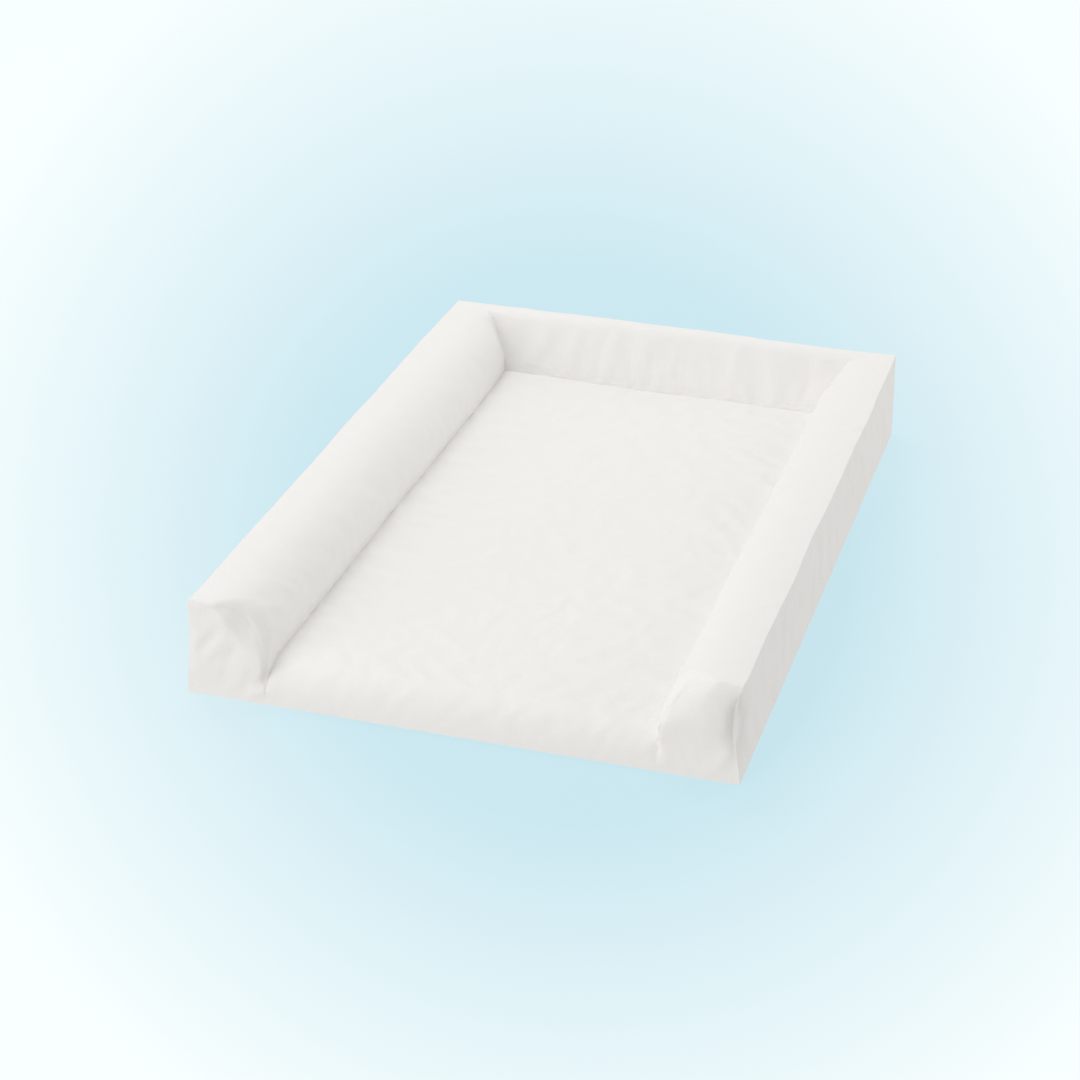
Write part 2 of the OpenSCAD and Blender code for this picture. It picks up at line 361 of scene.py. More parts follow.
def side_band_point(side, column, row):
    y, _ = long_place(column, HALF_L)
    return soften(Vector((side * HALF_W, y, band_levels[row])))


# %% Cut the panels
ARC_LENGTH = SIDE_FLAT + SIDE_R * math.pi / 2 + (ARC_Z - CREASE_Z)
long_columns = ROLL_STEPS + LONG_STEPS + 1
cap_columns = len(WALK) - STEPS_UPRIGHT
panels = {}
for word, side in (("left", -1), ("right", 1)):
    panels[f"{word}_bolster_cloth"] = cut_panel(
        f"{word}_bolster_cloth", long_columns, len(WALK),
        lambda c, r, s=side: bolster_point(s, c, r), (2 * HALF_L, ARC_LENGTH))
    panels[f"{word}_end_cloth"] = cut_panel(
        f"{word}_end_cloth", cap_columns, BAND_STEPS + 1,
        lambda c, r, s=side: cap_point(s, c, r), (HALF_W - CREASE_X, TOP_Z))
    panels[f"{word}_side_cloth"] = cut_panel(
        f"{word}_side_cloth", long_columns, BAND_STEPS + 1,
        lambda c, r, s=side: side_band_point(s, c, r), (2 * HALF_L, TOP_Z))
panels["head_bolster_cloth"] = cut_panel(
    "head_bolster_cloth", WIDE_STEPS + 1, len(WALK), head_point, (2 * HALF_W, ARC_LENGTH))
panels["centre_cloth"] = cut_panel(
    "centre_cloth", WIDE_STEPS + 1, long_columns + 1, centre_point, (2 * CREASE_X, 2 * HALF_L))
for name, panel in panels.items():
    print(name, len(panel.data.polygons), "faces")

# %% [markdown]
# ## The back wall
# The head end is closed by two flat strips. They meet beyond the ends of the zip, and leave a long window
# for it between them. The window is cut with bisect, which adds an edge where a plane crosses the cloth.

# %% Back wall panels
tape_low, tape_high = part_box("zip_upper_tape")
WINDOW_X = tape_high.x + 1 * MM
WINDOW_HALF = 7 * MM
BACK_ROWS = BAND_STEPS - LOW_BAND_STEPS


def open_window(obj):
    """Cuts the window's four lines. Points that they add to a seam are welded to the seam's own points."""
    bm = bmesh.new()
    bm.from_mesh(obj.data)
    border = {vert for vert in bm.verts if vert.is_boundary}
    cuts = (
        ((WINDOW_X, 0, 0), (1, 0, 0)), ((-WINDOW_X, 0, 0), (1, 0, 0)),
        ((0, 0, ZIP_Z + WINDOW_HALF), (0, 0, 1)), ((0, 0, ZIP_Z - WINDOW_HALF), (0, 0, 1)),
    )
    for place, normal in cuts:
        geometry = bm.verts[:] + bm.edges[:] + bm.faces[:]
        bmesh.ops.bisect_plane(bm, geom=geometry, dist=0.01 * MM, plane_co=place, plane_no=normal)
    added = [vert for vert in bm.verts if vert.is_boundary and vert not in border
             and abs(vert.co.z - ZIP_Z) > WINDOW_HALF / 2]
    welds = {}
    for vert in added:
        along_seam = [edge.other_vert(vert) for edge in vert.link_edges if edge.is_boundary]
        welds[vert] = min(along_seam, key=lambda near: (near.co - vert.co).length)
    bmesh.ops.weld_verts(bm, targetmap=welds)
    inside = [
        face for face in bm.faces
        if abs(face.calc_center_median().x) < WINDOW_X
        and abs(face.calc_center_median().z - ZIP_Z) < WINDOW_HALF
    ]
    bmesh.ops.delete(bm, geom=inside, context="FACES")
    bm.to_mesh(obj.data)
    bm.free()


def back_band_point(column, row):
    x = HALF_W * (2 * column / WIDE_STEPS - 1)
    return soften(Vector((x, HALF_L, band_levels[row])))


def zip_strip_point(column, row):
    x = HALF_W * (2 * column / WIDE_STEPS - 1)
    return soften(Vector((x, HALF_L, band_levels[BACK_ROWS + row])))


panels["head_side_cloth"] = cut_panel(
    "head_side_cloth", WIDE_STEPS + 1, BACK_ROWS + 1, back_band_point, (2 * HALF_W, TOP_Z - ZIP_Z))
panels["zip_strip_cloth"] = cut_panel(
    "zip_strip_cloth", WIDE_STEPS + 1, LOW_BAND_STEPS + 1, zip_strip_point, (2 * HALF_W, ZIP_Z))
open_window(panels["head_side_cloth"])
open_window(panels["zip_strip_cloth"])
print("zip window", round(2 * WINDOW_X, 3), "long")

# %% [markdown]
# ## Sewing the panels together
# The panels are joined into one mesh, and the points along each seam are merged. Every face remembers its
# panel by a material number, so the cover can be taken apart again later. Working on the sewn cover keeps
# both sides of a seam together while the cloth moves. Seams that fold sharply are marked as creases, so
# that the subdivision that comes later keeps them crisp.

# %% Sew
MERGE = 0.02 * MM
CRISP = 0.9


def sew(pieces):
    joined = bmesh.new()
    seams = set()
    for number, piece in enumerate(pieces.values()):
        first_vert, first_face = len(joined.verts), len(joined.faces)
        joined.from_mesh(piece.data)
        joined.verts.ensure_lookup_table()
        joined.faces.ensure_lookup_table()
        for face in joined.faces[first_face:]:
            face.material_index = number
        seams.update(tuple(v.co) for v in joined.verts[first_vert:] if v.is_boundary)
    bmesh.ops.remove_doubles(joined, verts=joined.verts, dist=MERGE)
    joined.normal_update()
    crease = joined.edges.layers.float.new("crease_edge")
    for edge in joined.edges:
        middle = (edge.verts[0].co + edge.verts[1].co) / 2
        slack = middle.x > HALF_W - 6 * MM and middle.y < -HALF_L + 6 * MM and 12 * MM < middle.z < 82 * MM
        if len(edge.link_faces) == 2 and edge.calc_face_angle(0) > math.radians(38) and not slack:
            edge[crease] = CRISP
    cover = mesh_object("sewn_cover", joined)
    lookup = KDTree(len(cover.data.vertices))
    for vert in cover.data.vertices:
        lookup.insert(vert.co, vert.index)
    lookup.balance()
    return cover, sorted({lookup.find(place)[1] for place in seams})


sewn_cover, seam_indices = sew(panels)
panel_names = list(panels)
for piece in panels.values():
    bpy.data.objects.remove(piece)
print("sewn cover:", len(sewn_cover.data.vertices), "points,", len(seam_indices), "on seams")

# %% [markdown]
# ## Pulling the cover over the foam
# The cloth is a little larger than the foam, and the foam pushes it out. A cloth simulation gives the
# small puckers beside the seams that placed points miss. The crease, the base and the outer edges are
# pinned firmly, the other seams give a little, and the cloth between them is tied softly to the foam's
# surface by a low pin weight. Afterwards no point may have sunk into the foam or moved too far.

# %% Cloth simulation
SIM_FRAMES = 14
SIM_CAP = 1.3 * MM
SIM_SINK = 0.2 * MM
SLACK = -0.012
HOLD = 0.15
HOLD_SEAM = 0.9
HOLD_SOFT_SEAM = 0.2


def seam_hold(place):
    """How firmly a seam is held: the crease, the base and the outer edges are firm, the rest give."""
    if place.z < 2 * MM or place.y > HALF_L - 4 * MM:
        return 1.0
    if place.z < CREASE_Z + 2 * MM or abs(place.x) > HALF_W - 5 * MM:
        return HOLD_SEAM
    low_mitre = smooth((60 * MM - place.z) / (25 * MM)) if place.y > 0 else 0
    return HOLD_SOFT_SEAM + (HOLD_SEAM - HOLD_SOFT_SEAM) * low_mitre


def keep_on_foam(move, normal):
    """Caps a move, and stops it from sinking into the foam below the cloth."""
    sink = min(0.0, move.dot(normal) + SIM_SINK)
    move = move - normal * sink
    return move * min(1.0, SIM_CAP / max(move.length, SIM_CAP))


def settle_cloth(cover, seams):
    before = [vert.co.copy() for vert in cover.data.vertices]
    normals = [vert.normal.copy() for vert in cover.data.vertices]
    group = cover.vertex_groups.new(name="pin")
    group.add(list(range(len(before))), HOLD, "REPLACE")
    for index in seams:
        group.add([index], seam_hold(before[index]), "REPLACE")
    cloth = cover.modifiers.new("cloth", "CLOTH")
    cloth.settings.vertex_group_mass = "pin"
    cloth.settings.pin_stiffness = 1.0
    cloth.settings.quality = 5
    cloth.settings.mass = 0.2
    cloth.settings.tension_stiffness = 25
    cloth.settings.compression_stiffness = 25
    cloth.settings.shear_stiffness = 8
    cloth.settings.bending_stiffness = 0.5
    cloth.settings.shrink_min = SLACK
    cloth.settings.use_pressure = True
    cloth.settings.uniform_pressure_force = 0.8
    cloth.settings.effector_weights.gravity = 0
    cloth.collision_settings.use_collision = False
    cloth.collision_settings.use_self_collision = False
    scene = bpy.context.scene
    for step in range(1, SIM_FRAMES + 1):
        scene.frame_set(step)
    settled = cover.evaluated_get(bpy.context.evaluated_depsgraph_get()).to_mesh()
    moves = [vert.co - old for vert, old in zip(settled.vertices, before)]
    cover.modifiers.clear()
    cover.vertex_groups.clear()
    scene.frame_set(1)
    for vert, move, normal in zip(cover.data.vertices, moves, normals):
        vert.co = before[vert.index] + keep_on_foam(move, normal)
    return max(move.length for move in moves)


moved = settle_cloth(sewn_cover, seam_indices)
print("the cloth moved up to", round(moved / MM, 2), "mm before the cap")

# %% [markdown]
# ## One subdivision, then listed folds
# The simulated grid is subdivided once, and its finer points take the folds that the sewing leaves at the
# ends and corners. A fold is a short line on the pad, and the cloth near it moves one way.

# %% Folds
ROUNDED, POINTED = 2, 1
FOLDS = (
    # from, to, how far the cloth moves, and the fold's half width, all in millimetres. Most folds fade out
    # like a round hill. A pointed one is steepest on its own line, so it turns a seam inside out.
    ((-222, -371, 83), (-188, -369, 80), (0, 3.2, -0.6), 3.5),
    ((-226, -371, 89), (-190, -371, 87), (0, -1.8, -0.4), 4),
    ((-212, -371, 64), (-228, -371, 42), (0, 1.4, 0), 4.5),
    ((-204, -371, 60), (-222, -371, 36), (0, -1.0, 0), 5),
    ((-194, -371, 52), (-208, -371, 24), (0, 1.2, 0), 5),
    ((-184, -366, 40), (-196, -371, 12), (0, -1.2, 0), 5),
    ((-171, -360, 34), (-173, -371, 16), (-1.6, 3.0, 0), 4.5),
    ((-182, -371, 7), (-162, -366, 16), (0, -1.8, 0.6), 4.5),
    ((238, -370, 76), (239, -370, 24), (-11.5, 12.0, 0), 10.5, POINTED),
    ((-212, -370, 84), (-178, -362, 34), (-0.6, -2.0, 0.6), 5),
    ((-238, -371, 78), (-239, -371, 24), (1.2, 1.6, 0), 4),
    ((214, -371, 8), (236, -371, 30), (0, -1.8, 0), 6),
    ((170, -362, 34), (170, -371, 14), (1.4, 2.4, 0), 4.5),
    ((163, -366, 24), (174, -371, 32), (0, -1.4, 0.4), 4),
    ((-90, -338, 34), (-96, -371, 8), (0, 0.8, -0.8), 4),
    ((-182, 344, 86), (-170, 332, 46), (-7.0, 0, -0.5), 19),
    ((182, 344, 86), (170, 332, 46), (6.5, 0, -0.5), 19),
    ((150, 324, 38), (154, 346, 80), (0, 1.3, -0.6), 4.5),
    ((-150, 330, 50), (-154, 346, 80), (0, 0.7, -0.3), 6),
)


def near_line(point, start, end):
    """Distance to a line piece, and how far along it the nearest point is, from 0 to 1."""
    line = end - start
    along = max(0.0, min(1.0, (point - start).dot(line) / line.length_squared))
    return (point - (start + line * along)).length, along


def press_folds(obj):
    folds = [(Vector(start), Vector(end), Vector(move), width, (shape or [ROUNDED])[0])
             for start, end, move, width, *shape in FOLDS]
    for vert in obj.data.vertices:
        place = vert.co / MM
        total = Vector()
        for start, end, move, width, shape in folds:
            if abs(place.x - start.x) > 3 * width + abs(end.x - start.x):
                continue
            gap, along = near_line(place, start, end)
            if gap < 3 * width:
                fade = math.sin(math.pi * (0.15 + 0.7 * along))
                total += move * fade * (math.exp(-(gap / width) ** shape) - math.exp(-3 ** shape))
        if total.length:
            place += total
            vert.co = (place.x * MM, place.y * MM, max(place.z, 0.0) * MM)


def apply_subdivision(obj):
    step = obj.modifiers.new("subdivision", "SUBSURF")
    step.levels = 1
    step.render_levels = 1
    fine = bpy.data.meshes.new_from_object(obj.evaluated_get(bpy.context.evaluated_depsgraph_get()))
    obj.modifiers.clear()
    obj.data = fine


apply_subdivision(sewn_cover)
press_folds(sewn_cover)
print("fine cover:", len(sewn_cover.data.polygons), "faces")

# %% [markdown]
# ## Taking the cover apart again
# Each panel is now cut out of the finished cover by its number, and gets the thickness of the knit. The
# thickness goes inwards, so the outside stays where it was sewn.

# %% Panels from the sewn cover
def give_thickness(obj, thickness):
    """A wall inwards from the cloth's face. The cut edge is sharp, so it doesn't darken the face beside it."""
    bm = bmesh.new()
    bm.from_mesh(obj.data)
    for edge in bm.edges:
        edge.smooth = not edge.is_boundary
    for face in bm.faces:
        face.smooth = True
        face.material_index = 0
    bm.to_mesh(obj.data)
    bm.free()
    wall = obj.modifiers.new("thickness", "SOLIDIFY")
    wall.thickness = thickness
    wall.offset = -1


def take_panel(cover, number, name):
    bm = bmesh.new()
    bm.from_mesh(cover.data)
    others = [face for face in bm.faces if face.material_index != number]
    bmesh.ops.delete(bm, geom=others, context="FACES")
    return mesh_object(name, bm)


panels = {}
for number, name in enumerate(panel_names):
    panels[name] = take_panel(sewn_cover, number, name)
    give_thickness(panels[name], COVER_T)
print("panels finished:", len(panels))

# %% [markdown]
# ## Materials
# A finish is a small tree of nodes. The helper below adds one node and joins its inputs, so that each
# finish reads as a short list. Cloth finishes read the pattern UV map, in metres of cloth. Foam, film and
# metal read Object coordinates, which are metres of the pad.

# %% Node helper
def start_material(name):
    material = bpy.data.materials.new(name)
    material.use_nodes = True
    tree = material.node_tree
    shader = tree.nodes["Principled BSDF"]
    return material, tree, shader


def add_node(tree, kind, settings=None, **inputs):
    node = tree.nodes.new(kind)
    for key, value in (settings or {}).items():
        setattr(node, key, value)
    for key, value in inputs.items():
        socket = node.inputs[key.replace("_", " ")]
        if isinstance(value, bpy.types.NodeSocket):
            tree.links.new(value, socket)
        else:
            socket.default_value = value
    return node


def blend_colours(tree, factor, first, second):
    mix = tree.nodes.new("ShaderNodeMix")
    mix.data_type = "RGBA"
    tree.links.new(factor, mix.inputs["Factor"])
    mix.inputs["A"].default_value = (*first, 1)
    mix.inputs["B"].default_value = (*second, 1)
    return mix.outputs["Result"]


def math_node(tree, operation, first, second):
    node = add_node(tree, "ShaderNodeMath", {"operation": operation})
    for socket, value in zip(node.inputs, (first, second)):
        if isinstance(value, bpy.types.NodeSocket):
            tree.links.new(value, socket)
        else:
            socket.default_value = value
    return node.outputs[0]


# %% [markdown]
# ## The knitted cover
# The cover is a fine cotton knit with a short soft pile. Its ribs, called wales, are about a millimetre
# wide, so two crossed wave textures make the loops and a fine noise makes the pile. Sheen gives the pale
# glow that pile has where light grazes it. The colour moves very little: new white cotton is even.

# %% Knit material
COTTON_LIGHT = (0.875, 0.868, 0.855)
COTTON_DARK = (0.842, 0.834, 0.820)
WALE = 1.15 * MM


def knit_material(name, light, dark, wale):
    material, tree, shader = start_material(name)
    uv = add_node(tree, "ShaderNodeUVMap", {"uv_map": "pattern"}).outputs["UV"]
    turns = 1 / wale / 20
    wales = add_node(tree, "ShaderNodeTexWave", {"bands_direction": "X"},
                     Vector=uv, Scale=turns * math.pi, Distortion=0.6, Detail=1.0).outputs["Fac"]
    courses = add_node(tree, "ShaderNodeTexWave", {"bands_direction": "Y"},
                       Vector=uv, Scale=turns * math.pi * 1.3, Distortion=0.9, Detail=1.0).outputs["Fac"]
    pile = add_node(tree, "ShaderNodeTexNoise", None,
                    Vector=uv, Scale=900.0, Detail=3.0, Roughness=0.7).outputs["Fac"]
    slubs = add_node(tree, "ShaderNodeTexNoise", None,
                     Vector=uv, Scale=60.0, Detail=4.0, Roughness=0.6).outputs["Fac"]
    loops = math_node(tree, "MULTIPLY", wales, courses)
    height = math_node(tree, "ADD", math_node(tree, "MULTIPLY", loops, 0.6), pile)
    bump = add_node(tree, "ShaderNodeBump", None, Height=height, Strength=0.35, Distance=0.25 * MM)
    tree.links.new(bump.outputs["Normal"], shader.inputs["Normal"])
    colour = blend_colours(tree, math_node(tree, "MULTIPLY", slubs, loops), light, dark)
    tree.links.new(colour, shader.inputs["Base Color"])
    shader.inputs["Roughness"].default_value = 0.92
    shader.inputs["Specular IOR Level"].default_value = 0.2
    shader.inputs["Sheen Weight"].default_value = 0.25
    shader.inputs["Sheen Roughness"].default_value = 0.6
    return material


cover_knit = knit_material("cover_knit", COTTON_LIGHT, COTTON_DARK, WALE)


def finish_piece(obj, material, body="pad"):
    obj.data.materials.clear()
    obj.data.materials.append(material)
    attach(obj, body)


# %% Cover pieces ride on the pad
STANDS_FOR = {
    "left_bolster_cloth": "cover_left_bolster_panel",
    "right_bolster_cloth": "cover_right_bolster_panel",
    "head_bolster_cloth": "cover_head_bolster_panel",
    "centre_cloth": "cover_centre_panel",
    "left_end_cloth": "cover_left_end_cap",
    "right_end_cloth": "cover_right_end_cap",
    "left_side_cloth": "cover_left_side_band",
    "right_side_cloth": "cover_right_side_band",
    "head_side_cloth": "cover_head_side_band",
    "zip_strip_cloth": "cover_zip_strip",
}


def flat_cut(obj):
    """Size of the flat piece that the panel was cut from, from its pattern map, and its area."""
    uvs = [loop.uv for loop in obj.data.uv_layers["pattern"].data]
    wide = max(uv.x for uv in uvs) - min(uv.x for uv in uvs)
    tall = max(uv.y for uv in uvs) - min(uv.y for uv in uvs)
    area = sum(polygon.area for polygon in obj.data.polygons)
    return (wide, tall), area


for name, panel in panels.items():
    flat, area = flat_cut(panel)
    finish_piece(panel, cover_knit)
    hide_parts(STANDS_FOR[name])
    min(area, flat[0] * flat[1])
    print(name, "cut from", round(flat[0], 3), "by", round(flat[1], 3), "area", round(area, 4))

# %% [markdown]
# ## The base panel
# The underside is plain woven cotton, which is flatter and tougher than the knit. It is one flat piece
# that lies on the table, sewn in all round.

# %% Base panel
def woven_material(name, light, dark, thread, sheen=0.1, roughness=0.85):
    """Plain weave: threads over and under each other, in the pattern map's metres."""
    material, tree, shader = start_material(name)
    uv = add_node(tree, "ShaderNodeUVMap", {"uv_map": "pattern"}).outputs["UV"]
    scale = math.pi / thread / 20
    warp = add_node(tree, "ShaderNodeTexWave", {"bands_direction": "X"},
                    Vector=uv, Scale=scale, Distortion=0.3).outputs["Fac"]
    weft = add_node(tree, "ShaderNodeTexWave", {"bands_direction": "Y"},
                    Vector=uv, Scale=scale, Distortion=0.3).outputs["Fac"]
    slubs = add_node(tree, "ShaderNodeTexNoise", None,
                     Vector=uv, Scale=140.0, Detail=3.0).outputs["Fac"]
    height = math_node(tree, "MAXIMUM", warp, weft)
    bump = add_node(tree, "ShaderNodeBump", None, Height=height, Strength=0.4, Distance=thread / 4)
    tree.links.new(bump.outputs["Normal"], shader.inputs["Normal"])
    tree.links.new(blend_colours(tree, math_node(tree, "MULTIPLY", slubs, height), light, dark),
                   shader.inputs["Base Color"])
    shader.inputs["Roughness"].default_value = roughness
    shader.inputs["Specular IOR Level"].default_value = 0.25
    shader.inputs["Sheen Weight"].default_value = sheen
    return material


def flat_sheet(name, low, high, across, along, columns, rows):
    """A flat sheet over the box from low to high, in the plane of two axes, facing the third."""
    third = 3 - across - along

    def place(column, row):
        point = Vector(low)
        point[across] = low[across] + (high[across] - low[across]) * column / (columns - 1)
        point[along] = low[along] + (high[along] - low[along]) * row / (rows - 1)
        point[third] = high[third] if point[third] > 50 * MM else low[third]
        return point

    size = (high[across] - low[across], high[along] - low[along])
    return cut_panel(name, columns, rows, place, size)


base_cotton = woven_material("base_cotton", (0.86, 0.855, 0.84), (0.80, 0.79, 0.77), 0.6 * MM)
base_cloth = flat_sheet("base_cloth", base_low, base_high, 0, 1, 33, 49)
give_thickness(base_cloth, COVER_T)
finish_piece(base_cloth, base_cotton)
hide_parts("cover_base_panel")

# %% [markdown]
# ## The foam core
# The core is four blocks of open-cell foam, glued together: a base slab and three bolsters. Their shapes
# are the CAD solids' own, a few millimetres smaller, so each block is a copy of its node. The copy's
# loose triangles are merged, flat faces are dissolved back to single faces, and the sharp edges get the
# small round that foam has where a hot wire has cut it.

# %% Foam blocks
def copy_node(name, node, new_low, new_high):
    """A merged copy of a CAD node, refitted from its own box to another."""
    low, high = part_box(node)
    bm = bmesh.new()
    bm.from_mesh(nodes[node].data)
    bmesh.ops.remove_doubles(bm, verts=bm.verts, dist=0.01 * MM)
    bmesh.ops.dissolve_limit(bm, angle_limit=math.radians(1), verts=bm.verts, edges=bm.edges)
    for vert in bm.verts:
        for axis in range(3):
            share = (vert.co[axis] - low[axis]) / (high[axis] - low[axis])
            vert.co[axis] = new_low[axis] + share * (new_high[axis] - new_low[axis])
    return bm


def bevel_sharp(bm, width, segments, angle=50):
    bm.normal_update()
    sharp = [edge for edge in bm.edges
             if len(edge.link_faces) == 2 and edge.calc_face_angle(0) > math.radians(angle)]
    bmesh.ops.bevel(bm, geom=sharp, offset=width, segments=segments, profile=0.5,
                    affect="EDGES", material=-1, clamp_overlap=True)


def foam_material():
    material, tree, shader = start_material("cream_foam")
    place = add_node(tree, "ShaderNodeTexCoord").outputs["Object"]
    cells = add_node(tree, "ShaderNodeTexVoronoi", {"feature": "SMOOTH_F1"},
                     Vector=place, Scale=900.0).outputs["Distance"]
    cloud = add_node(tree, "ShaderNodeTexNoise", None, Vector=place, Scale=30.0, Detail=4.0).outputs["Fac"]
    bump = add_node(tree, "ShaderNodeBump", None, Height=cells, Strength=0.7, Distance=0.4 * MM)
    tree.links.new(bump.outputs["Normal"], shader.inputs["Normal"])
    tree.links.new(blend_colours(tree, cloud, (0.87, 0.80, 0.62), (0.80, 0.72, 0.53)),
                   shader.inputs["Base Color"])
    shader.inputs["Roughness"].default_value = 0.95
    shader.inputs["Specular IOR Level"].default_value = 0.1
    return material


cream_foam = foam_material()
FOAM_GAP = 5 * MM
FOAM_EDGE = 4 * MM
FOAM_END = 12 * MM
GLUE_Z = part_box("base_foam")[1].z - 4 * MM
for foam_name in ("base_foam", "left_bolster_foam", "right_bolster_foam", "head_bolster_foam"):
    low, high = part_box(foam_name)
    gap = Vector((FOAM_GAP, FOAM_GAP, FOAM_GAP))
    new_low, new_high = low + gap, high - gap
    new_low.z = GLUE_Z
    if foam_name == "base_foam":
        new_low.z, new_high.z = low.z + 1 * MM, GLUE_Z
    else:
        new_low.y += FOAM_END if foam_name != "head_bolster_foam" else 0
    block = copy_node(foam_name, foam_name, new_low, new_high)
    bevel_sharp(block, FOAM_EDGE, 3)
    piece = mesh_object(foam_name.replace("foam", "block"), block)
    piece.data.shade_smooth()
    finish_piece(piece, cream_foam)
    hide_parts(foam_name)
    print(piece.name, len(piece.data.polygons), "faces")

# %% [markdown]
# ## The wipe-clean liner
# Between the foam and the cover is a thin film bag with welded edges and two vent eyelets at the head end.
# It has the cover's own shape, one size smaller, so it is a copy of the sewn cover in which every point is
# drawn in along its normal.

# %% Liner film
FILM_T = 0.35 * MM
LINER_IN = 3.4 * MM
WELD_W = 5 * MM
WELD_H = 0.3 * MM
film_low, film_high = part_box("liner_base_film")


def film_material():
    material, tree, shader = start_material("liner_film")
    place = add_node(tree, "ShaderNodeTexCoord").outputs["Object"]
    creases = add_node(tree, "ShaderNodeTexNoise", None,
                       Vector=place, Scale=45.0, Detail=5.0, Distortion=1.2).outputs["Fac"]
    bump = add_node(tree, "ShaderNodeBump", None, Height=creases, Strength=0.3, Distance=0.8 * MM)
    tree.links.new(bump.outputs["Normal"], shader.inputs["Normal"])
    tree.links.new(blend_colours(tree, creases, (0.80, 0.86, 0.90), (0.88, 0.92, 0.94)),
                   shader.inputs["Base Color"])
    shader.inputs["Roughness"].default_value = 0.32
    shader.inputs["Coat Weight"].default_value = 0.2
    return material


def draw_in(cover):
    """A copy of the sewn cover with every point drawn in, open at its base, the zip's window closed."""
    bm = bmesh.new()
    bm.from_mesh(cover.data)
    window = [edge for edge in bm.edges
              if edge.is_boundary and min(vert.co.z for vert in edge.verts) > 8 * MM]
    bmesh.ops.holes_fill(bm, edges=window, sides=0)
    bmesh.ops.triangulate(bm, faces=[face for face in bm.faces if len(face.verts) > 4])
    bm.normal_update()
    drawn = [(vert, vert.co - vert.normal * LINER_IN) for vert in bm.verts]
    for vert, place in drawn:
        vert.co = place
        vert.co.z = max(place.z, film_high.z)
    for face in bm.faces:
        face.material_index = 0
        face.smooth = True
    return bm


liner_film = film_material()
liner_skin = mesh_object("liner_skin", draw_in(sewn_cover))
give_thickness(liner_skin, FILM_T)
bpy.data.objects.remove(sewn_cover)
finish_piece(liner_skin, liner_film)
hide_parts("liner_top_film")


def make_liner_base():
    bm = bmesh.new()
    bmesh.ops.create_grid(bm, x_segments=24, y_segments=36, size=0.5)
    size = film_high - film_low
    middle = (film_high + film_low) / 2
    bmesh.ops.scale(bm, vec=(size.x - 2 * WELD_H, size.y - 2 * WELD_H, 1), verts=bm.verts)
    bmesh.ops.translate(bm, vec=(middle.x, middle.y, film_low.z + FILM_T), verts=bm.verts)
    bmesh.ops.inset_region(bm, faces=bm.faces, thickness=WELD_W, depth=-WELD_H, use_boundary=True)
    return mesh_object("liner_base", bm)


liner_base = make_liner_base()
give_thickness(liner_base, FILM_T)
finish_piece(liner_base, liner_film)
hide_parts("liner_base_film")
print("liner base", len(liner_base.data.polygons), "faces")

# %% [markdown]
# ## Vent eyelets
# The eyelets let air out of the liner when the pad is pressed. Each is a pressed metal ring. A ring with a
# rolled lip is a small round section spun once about the ring's middle, so spin makes it.

# %% Eyelets
def metal_material(name, colour, roughness, metallic=1.0):
    material, tree, shader = start_material(name)
    place = add_node(tree, "ShaderNodeTexCoord").outputs["Object"]
    grain = add_node(tree, "ShaderNodeTexNoise", None, Vector=place, Scale=2600.0, Detail=3.0).outputs["Fac"]
    bump = add_node(tree, "ShaderNodeBump", None, Height=grain, Strength=0.15, Distance=0.03 * MM)
    tree.links.new(bump.outputs["Normal"], shader.inputs["Normal"])
    darker = tuple(value * 0.85 for value in colour)
    tree.links.new(blend_colours(tree, grain, darker, colour), shader.inputs["Base Color"])
    shader.inputs["Metallic"].default_value = metallic
    shader.inputs["Roughness"].default_value = roughness
    return material


bright_metal = metal_material("eyelet_nickel", (0.78, 0.77, 0.75), 0.28)
eyelet_low, eyelet_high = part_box("liner_vent_eyelets")
EYELET_R = (eyelet_high.z - eyelet_low.z) / 2
EYELET_T = eyelet_high.y - eyelet_low.y


def spin_ring(bm, middle, ring_r, wire_r, flatten):
    """A ring about the Y axis, from a round section that is flattened along Y."""
    start = bmesh.ops.create_circle(bm, segments=10, radius=wire_r)["verts"]
    bmesh.ops.scale(bm, vec=(1, flatten, 1), verts=start)
    bmesh.ops.translate(bm, vec=(middle[0] + ring_r, middle[1], middle[2]), verts=start)
    edges = list({edge for vert in start for edge in vert.link_edges})
    bmesh.ops.spin(bm, geom=start + edges, cent=middle, axis=(0, 1, 0), dvec=(0, 0, 0),
                   angle=2 * math.pi, steps=32, use_merge=True)


eyelet_mesh = bmesh.new()
for side in (-1, 1):
    middle = (side * (eyelet_high.x - EYELET_R), (eyelet_low.y + eyelet_high.y) / 2,
              (eyelet_low.z + eyelet_high.z) / 2)
    spin_ring(eyelet_mesh, middle, EYELET_R * 0.74, EYELET_R * 0.26, EYELET_T / (EYELET_R * 0.52))
bmesh.ops.recalc_face_normals(eyelet_mesh, faces=eyelet_mesh.faces)
eyelets = mesh_object("vent_eyelets", eyelet_mesh)
eyelets.data.shade_smooth()
finish_piece(eyelets, bright_metal)
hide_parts("liner_vent_eyelets")
print("eyelets", round(2 * EYELET_R / MM, 1), "mm across")

# %% [markdown]
# ## The zip
# A coil zip has two woven tapes and a nylon thread wound into a long spring along each tape. The tapes lie
# behind the window in the back wall. The coil is a small circle spun along a screw path, with one turn for
# each tooth, so it stays light although it has hundreds of turns.

# %% Zip tapes
tape_weave = woven_material("tape_weave", (0.86, 0.86, 0.85), (0.78, 0.78, 0.77), 0.5 * MM, 0.05, 0.7)
for part in ("upper", "lower"):
    low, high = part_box(f"zip_{part}_tape")
    tape = flat_sheet(f"zip_{part}_weave", low, high, 0, 2, 203, 9)
    give_thickness(tape, high.y - low.y)
    finish_piece(tape, tape_weave)
    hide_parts(f"zip_{part}_tape")
    print(tape.name, round((high.x - low.x) / MM), "by", round((high.z - low.z) / MM, 1), "mm")

